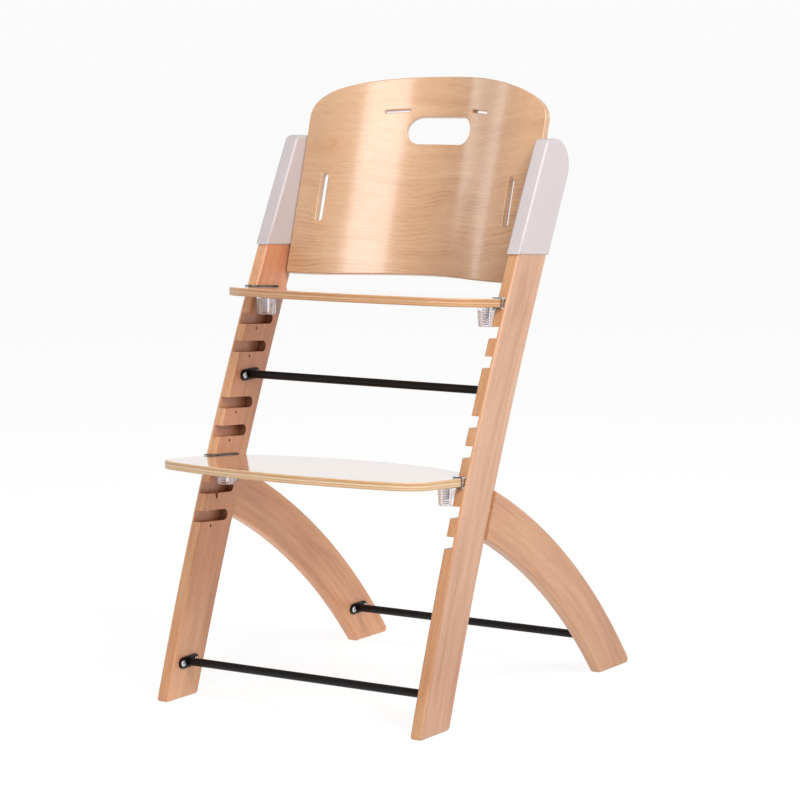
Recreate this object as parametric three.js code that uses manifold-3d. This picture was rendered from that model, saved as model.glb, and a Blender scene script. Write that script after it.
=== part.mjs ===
// Wooden baby high chair on two leaning, slightly bowed posts with curved rear legs.
// Millimetres, X = width, the chair faces -Y, Z up, feet on Z = 0.
// Side views are drawn in (y, z) with y = 0 at the toe of the posts; the finished
// assembly is then moved so that the origin is the centre of its footprint.

import * as THREE from 'three';
import { mergeGeometries, mergeVertices } from 'three/addons/utils/BufferGeometryUtils.js';
import Module from 'manifold-3d';

const wasm = await Module();
wasm.setup();

// ---------------------------------------------------------------- driving dimensions
const GAP = 0.3;                 // clearance between neighbouring pieces
const POST_T = 18;               // post thickness (X)
const POST_IN = 209.25;          // inner face of a post
const POST_OUT = POST_IN + POST_T;
const POST_TOP = 802.2;
const EDGE_R = 3;                // rounded long edges of the solid wood
const LEG_SHIFT = 3;             // rear legs sit this much further out than the posts
const LEG_TOP_ARC = { y: -249.1, z: -628.9, r: 1047.2 };
const LEG_UNDER_ARC = { y: -216.4, z: -583.0, r: 920.2 };

const GROOVE_0 = 258.9;          // height of the lowest groove at the post's front face
const GROOVE_PITCH = 40;
const GROOVE_STEPS = [0, 1, 2, 3, 4, 6, 7, 8];   // step 5 is taken by the middle crossbar
const GROOVE_H = 16.4;
const GROOVE_DEEP = 13.6;        // into the 18 mm post
const GROOVE_LEN = 62;           // from the front face to the round end
const GROOVE_TILT = 0.0765;      // radians, boards and grooves fall towards the back
const PEG_HOLE = { d: 4.4, deep: 8, back: 21.5, below: 14.4 };
const NOTCH = { step: 1, half: 5.5 };            // this peg hole opens into its groove as a V
const SEAT_STEP = 8;
const FOOT_STEP = 2;

const BOARD_T = 12;
const BOARD_HALF = 220.9;
const SEAT = { front: -125.5, back: 130, frontBow: 617, backBow: 303, frontR: 90, backR: 9 };
const FOOT = { front: -163, back: 126.5, frontBow: 617, backBow: 316, frontR: 52, backR: 9 };

const BACK_HALF = 206.6;
const BACK_T = 13.4;             // measured level, front to back
const BACK = { bottom: 601, sideTop: 830, crown: 61.5, power: 2.4 };
const BACK_LEAN = 0.298;
const BACK_AT = { z: 723, y: 396.8 };            // front face on the centre line
const BACK_BELL = { depth: 53.7, half: 180.8 };  // scooped middle, flat flanks

const BAR_D = 12;
const FLANGE = { len: 45.5, h: 16.5, t: 2.5, screws: 15.5, tilt: 0.02 };
const BARS = {
  front: { y: 53.6, z: 52.1, inner: POST_IN },
  middle: { y: 214.4, z: 456.5, inner: POST_IN },
  rear: { y: 498.5, z: 53.8, inner: POST_IN + LEG_SHIFT },
};

const KNOB = { x: 192, y: 5, top: -8.3, h: 26, r0: 14.9, r1: 12.4, hubR: 8.5 };
const STUD_D = 6;

// bowed edges of the post in side view
const postFront = (z) => 0.3251 * z + 0.0001321 * z * z;
const postBack = (z) => 75.4 + 0.3474 * z + 0.0001113 * z * z;
const arcEdge = (c) => (z) => c.y + Math.sqrt(c.r * c.r - (z - c.z) * (z - c.z));
const slopeOf = (f, z) => (f(z + 0.01) - f(z - 0.01)) / 0.02;
const grooveZ = (k) => GROOVE_0 + GROOVE_PITCH * k;

// ---------------------------------------------------------------- materials
const paint = (color, roughness, metalness = 0, opacity = 1) => new THREE.MeshStandardMaterial({
  color, roughness, metalness, opacity, transparent: opacity < 1,
});
const BEECH = paint(0xd6a587, 0.45);
const VENEER = paint(0xd9ad83, 0.35);
const PLY = paint(0xe3c39c, 0.3);
const CAP_GREY = paint(0xddd2d1, 0.5);
const BLACK_STEEL = paint(0x121212, 0.4, 0.6);
const ZINC = paint(0xb9bcc0, 0.3, 0.9);
const CLEAR = paint(0xdfe2e4, 0.15, 0, 0.55);
const DOWEL = paint(0xd9b795, 0.7);

// ---------------------------------------------------------------- solids
const toSolid = (geometry) => {
  const bare = geometry.index ? geometry.toNonIndexed() : geometry.clone();
  for (const name of Object.keys(bare.attributes)) {
    if (name !== 'position') bare.deleteAttribute(name);
  }
  const merged = mergeVertices(bare, 1e-4);
  return new wasm.Manifold(new wasm.Mesh({
    numProp: 3,
    vertProperties: new Float32Array(merged.attributes.position.array),
    triVerts: new Uint32Array(merged.index.array),
  }));
};

const toGeometry = (solid) => {
  const mesh = solid.getMesh();
  const out = new THREE.BufferGeometry();
  const xyz = new Float32Array(mesh.numVert * 3);
  for (let i = 0; i < mesh.numVert; i += 1) {
    for (let j = 0; j < 3; j += 1) xyz[i * 3 + j] = mesh.vertProperties[i * mesh.numProp + j];
  }
  out.setAttribute('position', new THREE.BufferAttribute(xyz, 3));
  out.setIndex(new THREE.BufferAttribute(new Uint32Array(mesh.triVerts), 1));
  return out;
};

const cut = (geometry, tools) => {
  let solid = toSolid(geometry);
  for (const tool of tools) solid = solid.subtract(toSolid(tool));
  return toGeometry(solid);
};

const join = (pieces) => {
  let solid = toSolid(pieces[0]);
  for (const piece of pieces.slice(1)) solid = solid.add(toSolid(piece));
  return toGeometry(solid);
};

// side-view outline (y, z) made into a board lying between x0 and x1
const sidePlate = (outline, x0, x1, edge, rings = 2) => {
  const shape = outline instanceof THREE.Shape ? outline : new THREE.Shape(outline);
  const options = edge > 0
    ? { depth: x1 - x0 - 2 * edge, bevelThickness: edge, bevelSize: edge, bevelOffset: -edge,
      bevelSegments: rings, curveSegments: 6 }
    : { depth: x1 - x0, bevelEnabled: false, curveSegments: 6 };
  const geometry = new THREE.ExtrudeGeometry(shape, options);
  geometry.translate(0, 0, x0 + (edge > 0 ? edge : 0));
  geometry.applyMatrix4(new THREE.Matrix4().set(
    0, 0, 1, 0,
    1, 0, 0, 0,
    0, 1, 0, 0,
    0, 0, 0, 1,
  ));
  return geometry;
};

// round bar along X
const barX = (d, x0, x1, y, z, sides = 20) => {
  const geometry = new THREE.CylinderGeometry(d / 2, d / 2, x1 - x0, sides);
  geometry.rotateZ(-Math.PI / 2);
  geometry.translate((x0 + x1) / 2, y, z);
  return geometry;
};

const mirrorX = (geometry) => {
  const out = geometry.index ? geometry.toNonIndexed() : geometry.clone();
  const p = out.attributes.position;
  for (let i = 0; i < p.count; i += 3) {
    const a = new THREE.Vector3().fromBufferAttribute(p, i);
    const b = new THREE.Vector3().fromBufferAttribute(p, i + 1);
    const c = new THREE.Vector3().fromBufferAttribute(p, i + 2);
    p.setXYZ(i, -a.x, a.y, a.z);
    p.setXYZ(i + 1, -c.x, c.y, c.z);
    p.setXYZ(i + 2, -b.x, b.y, b.z);
  }
  return out;
};

// ---------------------------------------------------------------- side-view outlines
const arcPoints = (cy, cz, r, a0, a1, n) => {
  const points = [];
  for (let i = 0; i <= n; i += 1) {
    const a = a0 + ((a1 - a0) * i) / n;
    points.push(new THREE.Vector2(cy + r * Math.cos(a), cz + r * Math.sin(a)));
  }
  return points;
};

// corner of radius r between a leaning edge and a level line at height level;
// side = 1 when the wood lies behind the edge (greater y), up = 1 for a top corner
const levelCorner = (edge, side, up, r, level, n = 5) => {
  let z = level - up * r;
  let normal = new THREE.Vector2();
  for (let i = 0; i < 12; i += 1) {
    const s = slopeOf(edge, z);
    const l = Math.hypot(1, s);
    normal = new THREE.Vector2(side / l, (-side * s) / l);
    z = level - up * r - r * normal.y;
  }
  const cy = edge(z) + r * normal.x;
  const cz = z + r * normal.y;
  const edgeAngle = Math.atan2(-normal.y, -normal.x);
  let levelAngle = (up * Math.PI) / 2;
  while (levelAngle - edgeAngle > Math.PI) levelAngle -= 2 * Math.PI;
  while (levelAngle - edgeAngle < -Math.PI) levelAngle += 2 * Math.PI;
  return { z, points: arcPoints(cy, cz, r, edgeAngle, levelAngle, n) };
};

const edgeSamples = (edge, z0, z1, n) => {
  const points = [];
  for (let i = 1; i < n; i += 1) {
    const z = z0 + ((z1 - z0) * i) / n;
    points.push(new THREE.Vector2(edge(z), z));
  }
  return points;
};

const postOutline = () => {
  const toe = levelCorner(postFront, 1, -1, 4, 0, 3);
  const crownFront = levelCorner(postFront, 1, 1, 10, POST_TOP, 4);
  const crownBack = levelCorner(postBack, -1, 1, 36, POST_TOP, 6);
  const heel = levelCorner(postBack, -1, -1, 7, 0, 4);
  return [
    ...toe.points.slice().reverse(),
    ...edgeSamples(postFront, toe.z, crownFront.z, 12),
    ...crownFront.points,
    ...crownBack.points.slice().reverse(),
    ...edgeSamples(postBack, crownBack.z, heel.z, 12),
    ...heel.points,
  ];
};

// slot with a full-round back end, running along the tilted groove direction;
// (y0, z0) is the slot's axis where it meets the post's front face
const slotOutline = (y0, z0, from, to, h, tilt, n = 8) => {
  const r = h / 2;
  const raw = [
    new THREE.Vector2(from, -r),
    ...arcPoints(to - r, 0, r, -Math.PI / 2, Math.PI / 2, n),
    new THREE.Vector2(from, r),
  ];
  return raw.map((p) => p.rotateAround(new THREE.Vector2(), -tilt)
    .add(new THREE.Vector2(y0, z0)));
};

const grooveCutter = (k) => {
  const z = grooveZ(k);
  const outline = slotOutline(postFront(z), z, -16, GROOVE_LEN, GROOVE_H, GROOVE_TILT);
  return sidePlate(outline, POST_IN - 1, POST_IN + GROOVE_DEEP, 0);
};

// blind peg hole below each groove, for the board clips
const pegHoleCutters = (k) => {
  const z = grooveZ(k) - PEG_HOLE.back * Math.sin(GROOVE_TILT) - PEG_HOLE.below;
  const y = postFront(grooveZ(k)) + PEG_HOLE.back - PEG_HOLE.below * Math.sin(GROOVE_TILT);
  const hole = barX(PEG_HOLE.d, POST_IN - 1, POST_IN + PEG_HOLE.deep, y, z, 12);
  if (k !== NOTCH.step) return [hole];
  const r = PEG_HOLE.d / 2;
  const top = z + PEG_HOLE.below - 2;
  const wedge = sidePlate([
    new THREE.Vector2(y - r, z),
    new THREE.Vector2(y + r, z),
    new THREE.Vector2(y + NOTCH.half, top),
    new THREE.Vector2(y - NOTCH.half, top),
  ], POST_IN - 1, POST_IN + PEG_HOLE.deep, 0);
  return [hole, wedge];
};

// ---------------------------------------------------------------- fasteners' places
const flangeScrewPlaces = (bar) => [-1, 1].map((s) => ({
  y: bar.y + s * FLANGE.screws * Math.cos(FLANGE.tilt),
  z: bar.z + s * FLANGE.screws * Math.sin(FLANGE.tilt),
}));

const BACK_SCREW_Z = [690, 760];
const backFront = (x, z) => {
  const u = Math.min(Math.abs(x), BACK_BELL.half) / BACK_BELL.half;
  const bell = (BACK_BELL.depth * (1 - Math.cos(Math.PI * u))) / 2;
  return BACK_AT.y + BACK_LEAN * (z - BACK_AT.z) - bell;
};
// how fast backFront changes with x
const backSlope = (x) => {
  const u = Math.min(Math.abs(x), BACK_BELL.half) / BACK_BELL.half;
  const steepest = (BACK_BELL.depth * Math.PI) / (2 * BACK_BELL.half);
  return -Math.sign(x) * steepest * Math.sin(Math.PI * u);
};
const backScrewY = (z) => backFront(BACK_HALF, z) + BACK_T / 2;

const DOWEL_PIN = { d: 8, inPost: 14, inLeg: 26, spread: 19, x: POST_IN + POST_T / 2 + LEG_SHIFT / 2 };
const JOINT_Z = 284;
const jointNormal = () => {
  const s = slopeOf(postBack, JOINT_Z);
  return new THREE.Vector2(1, -s).normalize();
};
const dowelCentres = () => {
  const n = jointNormal();
  const along = new THREE.Vector2(-n.y, n.x);
  return [-1, 1].map((s) => new THREE.Vector2(postBack(JOINT_Z), JOINT_Z)
    .addScaledVector(along, s * DOWEL_PIN.spread)
    .addScaledVector(n, (DOWEL_PIN.inLeg - DOWEL_PIN.inPost) / 2));
};
const dowelRod = (centre, grow) => {
  const n = jointNormal();
  const length = DOWEL_PIN.inPost + DOWEL_PIN.inLeg + 2 * grow;
  const rod = new THREE.CylinderGeometry(DOWEL_PIN.d / 2 + grow, DOWEL_PIN.d / 2 + grow, length, 16);
  rod.rotateX(Math.atan2(n.y, n.x));
  rod.translate(DOWEL_PIN.x, centre.x, centre.y);
  return rod;
};

// ---------------------------------------------------------------- post, leg, cap (right side, +X)
const buildPost = () => {
  const tools = [];
  for (const k of GROOVE_STEPS) {
    tools.push(grooveCutter(k), ...pegHoleCutters(k));
  }
  for (const bar of [BARS.front, BARS.middle]) {
    for (const at of flangeScrewPlaces(bar)) {
      tools.push(barX(4.8, POST_IN - 1, POST_IN + 13.3, at.y, at.z, 12));
    }
  }
  for (const z of BACK_SCREW_Z) {
    tools.push(barX(5.4, POST_IN - 1, POST_OUT + 1, backScrewY(z), z, 12));
    tools.push(barX(9.8, POST_OUT - 4.3, POST_OUT + 1, backScrewY(z), z, 16));
  }
  for (const c of dowelCentres()) tools.push(dowelRod(c, GAP));
  return cut(sidePlate(postOutline(), POST_IN, POST_OUT, EDGE_R), tools);
};

const buildLeg = () => {
  const topEdge = arcEdge(LEG_TOP_ARC);
  const underEdge = arcEdge(LEG_UNDER_ARC);
  const toe = levelCorner(underEdge, 1, -1, 4, 0, 3);
  const heel = levelCorner(topEdge, -1, -1, 6, 0, 4);
  const outline = [
    ...toe.points.slice().reverse(),
    ...edgeSamples(underEdge, toe.z, 290, 16),
    new THREE.Vector2(80, 300),
    new THREE.Vector2(80, 375),
    ...edgeSamples(topEdge, 375, heel.z, 20),
    ...heel.points,
  ];
  const blank = sidePlate(outline, POST_IN + LEG_SHIFT, POST_OUT + LEG_SHIFT, EDGE_R);
  const wall = [
    ...edgeSamples((z) => postBack(z) + GAP * 1.15, 150, 420, 18),
    new THREE.Vector2(20, 420),
    new THREE.Vector2(20, 150),
  ];
  const tools = [sidePlate(wall, POST_IN - 20, POST_OUT + 20, 0)];
  for (const at of flangeScrewPlaces(BARS.rear)) {
    tools.push(barX(4.8, BARS.rear.inner - 1, BARS.rear.inner + 13.3, at.y, at.z, 12));
  }
  for (const c of dowelCentres()) tools.push(dowelRod(c, GAP));
  return cut(blank, tools);
};

const CAP = { front: 645.6, wall: 1.9, top: 804.6, frontR: 12, backR: 38 };
const capOutline = (grow, top, frontR, backR, drop) => {
  const front = (z) => postFront(z) - grow * 1.12;
  const back = (z) => postBack(z) + grow * 1.12;
  const crownFront = levelCorner(front, 1, 1, frontR, top, 5);
  const crownBack = levelCorner(back, -1, 1, backR, top, 8);
  const zf = CAP.front - drop;
  const zb = CAP.front - 83 * Math.sin(GROOVE_TILT) - drop;
  return [
    new THREE.Vector2(front(zf), zf),
    ...edgeSamples(front, zf, crownFront.z, 4),
    ...crownFront.points,
    ...crownBack.points.slice().reverse(),
    ...edgeSamples(back, crownBack.z, zb, 4),
    new THREE.Vector2(back(zb), zb),
  ];
};

const buildCap = () => {
  const out = CAP.wall + GAP;
  const shell = sidePlate(capOutline(out, CAP.top, CAP.frontR, CAP.backR, 0),
    POST_IN - out, POST_OUT + out, 3.4, 3);
  const cavity = sidePlate(capOutline(GAP, POST_TOP + GAP + 0.2, 10, 36, 30),
    POST_IN - GAP, POST_OUT + GAP, EDGE_R);
  const holes = BACK_SCREW_Z
    .map((z) => barX(5.4, POST_IN - out - 1, POST_IN + 2, backScrewY(z), z, 12));
  return cut(shell, [cavity, ...holes]);
};

// ---------------------------------------------------------------- boards
const boardShape = (b) => {
  const xf = BOARD_HALF - b.frontR;
  const xb = BOARD_HALF - b.backR;
  const fc = b.front + b.frontBow;
  const bc = b.back - b.backBow;
  const yf = fc - Math.sqrt((b.frontBow - b.frontR) ** 2 - xf ** 2);
  const yb = bc + Math.sqrt((b.backBow - b.backR) ** 2 - xb ** 2);
  const af = Math.asin(xf / (b.frontBow - b.frontR));
  const ab = Math.asin(xb / (b.backBow - b.backR));
  const q = Math.PI / 2;
  const shape = new THREE.Shape();
  shape.absarc(0, fc, b.frontBow, -q - af, -q + af, false);
  shape.absarc(xf, yf, b.frontR, -q + af, 0, false);
  shape.absarc(xb, yb, b.backR, 0, q - ab, false);
  shape.absarc(0, bc, b.backBow, q - ab, q + ab, false);
  shape.absarc(-xb, yb, b.backR, q + ab, 2 * q, false);
  shape.absarc(-xf, yf, b.frontR, 2 * q, 3 * q - af, false);
  return shape;
};

const buildBoard = (b) => {
  const edge = 2.6;
  const blank = new THREE.ExtrudeGeometry(boardShape(b), {
    depth: BOARD_T - 2 * edge,
    bevelThickness: edge,
    bevelSize: edge,
    bevelOffset: -edge,
    bevelSegments: 2,
    curveSegments: 5,
  });
  blank.translate(0, 0, -BOARD_T / 2 + edge);
  const tools = [-1, 1].map((s) => {
    const hole = new THREE.CylinderGeometry(STUD_D / 2 + GAP, STUD_D / 2 + GAP, 12, 16);
    hole.rotateX(Math.PI / 2);
    hole.translate(s * KNOB.x, KNOB.y, -2.7);
    return hole;
  });
  return cut(blank, tools);
};

// clear U-shaped liner round the board's side edge, with a tab lying on the post's inner face
const CLIP = { ahead: 7.5, inboard: 2, tabFrom: 51, tabTo: 62, tabDrop: 27.5 };
const buildClip = () => {
  const half = GROOVE_H / 2 - GAP;
  const inner = BOARD_T / 2 + 0.4;
  const x1 = POST_IN + GROOVE_DEEP - GAP;
  const x0 = POST_IN - CLIP.inboard;
  const body = sidePlate(slotOutline(0, 0, -CLIP.ahead, GROOVE_LEN - GAP, 2 * half, 0), x0, x1, 0);
  const hollow = new THREE.BoxGeometry(x1 - x0, 200, 2 * inner);
  hollow.translate((x0 + x1) / 2 - 1.2, 20, 0);
  const tab = new THREE.BoxGeometry(1.6, CLIP.tabTo - CLIP.tabFrom, CLIP.tabDrop);
  tab.translate(POST_IN - GAP - 0.8, (CLIP.tabFrom + CLIP.tabTo) / 2, 1 - half - CLIP.tabDrop / 2);
  return join([cut(body, [hollow]), tab]);
};

const buildKnob = () => {
  const sides = 20;
  const profile = [
    new THREE.Vector2(0, -KNOB.h),
    new THREE.Vector2(KNOB.r1 - 1.6, -KNOB.h),
    new THREE.Vector2(KNOB.r1 - 0.4, -KNOB.h + 0.5),
    new THREE.Vector2(KNOB.r1, -KNOB.h + 1.6),
    new THREE.Vector2(KNOB.r0, -1.2),
    new THREE.Vector2(KNOB.r0 - 1, 0),
    new THREE.Vector2(KNOB.hubR, 0),
    new THREE.Vector2(KNOB.hubR, 1.9),
    new THREE.Vector2(0, 1.9),
  ];
  const turned = new THREE.LatheGeometry(profile, sides);
  turned.rotateX(Math.PI / 2);
  const bore = new THREE.CylinderGeometry(STUD_D / 2 + GAP, STUD_D / 2 + GAP, 22, 16);
  bore.rotateX(Math.PI / 2);
  bore.translate(0, 0, -8);
  return cut(turned, [bore]);
};

const buildStud = () => {
  const rod = new THREE.CylinderGeometry(STUD_D / 2, STUD_D / 2, 29, 14);
  rod.rotateX(Math.PI / 2);
  rod.translate(0, 0, -11.7);
  return rod;
};

// ---------------------------------------------------------------- backrest
// splits every triangle that crosses the plane x = c so that the sheet can be bent
const splitAtX = (triangles, c) => {
  const out = [];
  const meet = (a, b) => {
    const [p, q] = a[0] < b[0] ? [a, b] : [b, a];
    const t = (c - p[0]) / (q[0] - p[0]);
    return [c, p[1] + (q[1] - p[1]) * t, p[2] + (q[2] - p[2]) * t];
  };
  for (const tri of triangles) {
    const side = tri.map((v) => (Math.abs(v[0] - c) < 1e-7 ? 0 : Math.sign(v[0] - c)));
    if (side.every((s) => s >= 0) || side.every((s) => s <= 0)) {
      out.push(tri);
      continue;
    }
    const low = [];
    const high = [];
    for (let i = 0; i < 3; i += 1) {
      const j = (i + 1) % 3;
      if (side[i] <= 0) low.push(tri[i]);
      if (side[i] >= 0) high.push(tri[i]);
      if (side[i] * side[j] < 0) {
        const m = meet(tri[i], tri[j]);
        low.push(m);
        high.push(m);
      }
    }
    for (const poly of [low, high]) {
      for (let i = 1; i + 1 < poly.length; i += 1) out.push([poly[0], poly[i], poly[i + 1]]);
    }
  }
  return out;
};

const obround = (cx, cz, w, h, n = 8, tilt = 0) => {
  const long = Math.max(w, h);
  const r = Math.min(w, h) / 2;
  const turn = tilt + (w >= h ? 0 : Math.PI / 2);
  const raw = [
    ...arcPoints(long / 2 - r, 0, r, -Math.PI / 2, Math.PI / 2, n),
    ...arcPoints(-(long / 2 - r), 0, r, Math.PI / 2, (3 * Math.PI) / 2, n),
  ];
  return raw.map((p) => p.rotateAround(new THREE.Vector2(), turn).add(new THREE.Vector2(cx, cz)));
};

const HANDLE = { z: 811.9, w: 109.5, h: 40.5 };
const STRAP_TOP = { x: 71.5, z: 840.5, w: 35, h: 3.8, tilt: 0.052 };  // outer end lower
const STRAP_SIDE = { x: 163, z: 713.5, w: 10.2, h: 71, tilt: 0 };

// outline in (x, z); extruded along -Y so it is drawn flat and bent afterwards
const standingPlate = (shape, thickness, edge, rings = 2) => {
  const geometry = new THREE.ExtrudeGeometry(shape, edge > 0 ? {
    depth: thickness - 2 * edge,
    bevelThickness: edge,
    bevelSize: edge,
    bevelOffset: -edge,
    bevelSegments: rings,
    curveSegments: 6,
  } : { depth: thickness, bevelEnabled: false, curveSegments: 6 });
  geometry.translate(0, 0, -thickness / 2 + edge);
  geometry.rotateX(Math.PI / 2);
  return geometry;
};

const buildBackrest = () => {
  const outline = [];
  const steps = 14;
  for (let i = -steps; i <= steps; i += 1) {
    const a = (i / steps) * (Math.PI / 2);
    const x = Math.sign(a) * BACK_HALF * Math.abs(Math.sin(a)) ** (2 / BACK.power);
    const rise = BACK.crown * Math.cos(a) ** (2 / BACK.power);
    outline.push(new THREE.Vector2(x, BACK.sideTop + (Math.abs(i) === steps ? 0 : rise)));
  }
  outline.push(new THREE.Vector2(BACK_HALF, BACK.bottom + 5));
  outline.push(...arcPoints(BACK_HALF - 5, BACK.bottom + 5, 5, 0, -Math.PI / 2, 4).slice(1));
  outline.push(...arcPoints(-BACK_HALF + 5, BACK.bottom + 5, 5, -Math.PI / 2, -Math.PI, 4));
  const shape = new THREE.Shape(outline);
  shape.holes.push(new THREE.Path(obround(0, HANDLE.z, HANDLE.w, HANDLE.h)));
  const sheet = standingPlate(shape, BACK_T, 2.6, 2);
  const slots = [];
  for (const s of [-1, 1]) {
    for (const slot of [STRAP_TOP, STRAP_SIDE]) {
      const path = new THREE.Shape(
        obround(s * slot.x, slot.z, slot.w, slot.h, 4, -s * slot.tilt),
      );
      slots.push(standingPlate(path, BACK_T + 4, 0));
    }
  }
  const flat = cut(sheet, slots).toNonIndexed();
  const p = flat.attributes.position;
  let triangles = [];
  for (let i = 0; i < p.count; i += 3) {
    triangles.push([0, 1, 2].map((j) => [p.getX(i + j), p.getY(i + j), p.getZ(i + j)]));
  }
  const bends = 20;
  for (let i = 0; i <= bends; i += 1) {
    triangles = splitAtX(triangles, -BACK_BELL.half + (2 * BACK_BELL.half * i) / bends);
  }
  // edges and holes are cut square to the sheet where they are: going deeper also goes down and
  // a little sideways
  const bent = new Float32Array(triangles.length * 9);
  triangles.flat().forEach((v, i) => {
    const deep = v[1] + BACK_T / 2;
    const slope = backSlope(v[0]);
    const step = deep / (1 + slope ** 2 + BACK_LEAN ** 2);
    const x = v[0] - slope * step;
    const z = v[2] - BACK_LEAN * step;
    bent[i * 3] = x;
    bent[i * 3 + 1] = backFront(x, z) + deep;
    bent[i * 3 + 2] = z;
  });
  const raw = new THREE.BufferGeometry();
  raw.setAttribute('position', new THREE.BufferAttribute(bent, 3));
  const geometry = toGeometry(toSolid(raw).simplify(0.02));
  const holes = [];
  for (const z of BACK_SCREW_Z) {
    holes.push(barX(5, BACK_HALF - 27, BACK_HALF + 2, backScrewY(z), z, 12));
    holes.push(barX(5, -BACK_HALF - 2, -BACK_HALF + 27, backScrewY(z), z, 12));
  }
  return cut(geometry, holes);
};

// ---------------------------------------------------------------- crossbars and screws
const buildCrossbar = (bar) => {
  const end = bar.inner - GAP;
  const pieces = [barX(BAR_D, -end + 1, end - 1, bar.y, bar.z, 24)];
  for (const s of [-1, 1]) {
    const shape = new THREE.Shape(obround(0, 0, FLANGE.len, FLANGE.h)
      .map((p) => p.rotateAround(new THREE.Vector2(), FLANGE.tilt)
        .add(new THREE.Vector2(bar.y, bar.z))));
    const plate = s > 0
      ? sidePlate(shape, end - FLANGE.t, end, 0)
      : sidePlate(shape, -end, -end + FLANGE.t, 0);
    const holes = flangeScrewPlaces(bar)
      .map((at) => barX(5, s * end - 6, s * end + 6, at.y, at.z, 12));
    pieces.push(cut(plate, holes));
  }
  return join(pieces);
};

// screws are drawn for the right side: head towards the middle of the chair
const buildFlangeScrew = (bar) => {
  const face = bar.inner - GAP - FLANGE.t - GAP;
  const head = [
    new THREE.Vector2(0, -2.6),
    new THREE.Vector2(2.9, -2.3),
    new THREE.Vector2(4.8, -1),
    new THREE.Vector2(4.8, 0),
    new THREE.Vector2(2.1, 0),
    new THREE.Vector2(2.1, 14.5),
    new THREE.Vector2(0, 16),
  ];
  const screw = new THREE.LatheGeometry(head, 12);
  screw.rotateZ(-Math.PI / 2);
  screw.translate(face, 0, 0);
  return screw;
};

const buildBackScrew = () => {
  const head = [
    new THREE.Vector2(0, -36),
    new THREE.Vector2(2.2, -34.5),
    new THREE.Vector2(2.2, -3.4),
    new THREE.Vector2(4.5, -3.4),
    new THREE.Vector2(4.5, 0),
    new THREE.Vector2(0, 0),
  ];
  const screw = new THREE.LatheGeometry(head, 12);
  screw.rotateZ(-Math.PI / 2);
  screw.translate(POST_OUT - 0.5, 0, 0);
  return screw;
};

// ---------------------------------------------------------------- assembly
const group = new THREE.Group();
group.name = 'baby_high_chair';
const frame = new THREE.Group();
frame.name = 'frame_axes';
group.add(frame);

const finish = (geometry) => {
  const bare = geometry.index ? geometry.toNonIndexed() : geometry;
  bare.computeVertexNormals();
  return bare;
};

const add = (parent, name, geometry, material, at = [0, 0, 0]) => {
  const mesh = new THREE.Mesh(finish(geometry), material);
  mesh.name = name;
  mesh.position.set(at[0], at[1], at[2]);
  parent.add(mesh);
  return mesh;
};

const addPair = (parent, stem, geometry, material) => {
  add(parent, `right_${stem}`, geometry, material);
  add(parent, `left_${stem}`, mirrorX(geometry), material);
};

addPair(frame, 'post', buildPost(), BEECH);
addPair(frame, 'rear_leg', buildLeg(), BEECH);
addPair(frame, 'cap', buildCap(), CAP_GREY);
add(frame, 'backrest', buildBackrest(), VENEER);

for (const [name, bar] of Object.entries(BARS)) {
  add(frame, `${name}_crossbar`, buildCrossbar(bar), BLACK_STEEL);
  const screw = buildFlangeScrew(bar);
  const twin = mirrorX(screw);
  flangeScrewPlaces(bar).forEach((at, i) => {
    add(frame, `${name}_bar_screw_right_${i + 1}`, screw, ZINC, [0, at.y, at.z]);
    add(frame, `${name}_bar_screw_left_${i + 1}`, twin, ZINC, [0, at.y, at.z]);
  });
}

const backScrew = buildBackScrew();
const backScrewTwin = mirrorX(backScrew);
BACK_SCREW_Z.forEach((z, i) => {
  add(frame, `backrest_screw_right_${i + 1}`, backScrew, ZINC, [0, backScrewY(z), z]);
  add(frame, `backrest_screw_left_${i + 1}`, backScrewTwin, ZINC, [0, backScrewY(z), z]);
});

dowelCentres().forEach((c, i) => {
  const rod = dowelRod(c, 0);
  add(frame, `leg_dowel_right_${i + 1}`, rod, DOWEL);
  add(frame, `leg_dowel_left_${i + 1}`, mirrorX(rod), DOWEL);
});

const clip = buildClip();
const clipTwin = mirrorX(clip);
const knob = buildKnob();
const stud = buildStud();
for (const [name, step, board] of [['seat', SEAT_STEP, SEAT], ['footrest', FOOT_STEP, FOOT]]) {
  const shelf = new THREE.Group();
  shelf.name = `${name}_axes`;
  shelf.position.set(0, postFront(grooveZ(step)), grooveZ(step));
  shelf.rotation.x = -GROOVE_TILT;
  frame.add(shelf);
  add(shelf, `${name}_board`, buildBoard(board), PLY);
  add(shelf, `${name}_clip_right`, clip, CLEAR);
  add(shelf, `${name}_clip_left`, clipTwin, CLEAR);
  for (const [side, s] of [['right', 1], ['left', -1]]) {
    add(shelf, `${name}_knob_${side}`, knob, CLEAR, [s * KNOB.x, KNOB.y, KNOB.top]);
    add(shelf, `${name}_stud_${side}`, stud, ZINC, [s * KNOB.x, KNOB.y, 0]);
  }
}

const extent = new THREE.Box3().setFromObject(frame, true);
frame.position.y = -(extent.min.y + extent.max.y) / 2;
group.updateMatrixWorld(true);

export default group;
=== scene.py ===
"""Looks for a wooden baby high chair, built round its CAD frame. Metres, +Z up, facing -Y."""
import math

import bmesh
import bpy
from mathutils import Matrix, Vector


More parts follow.
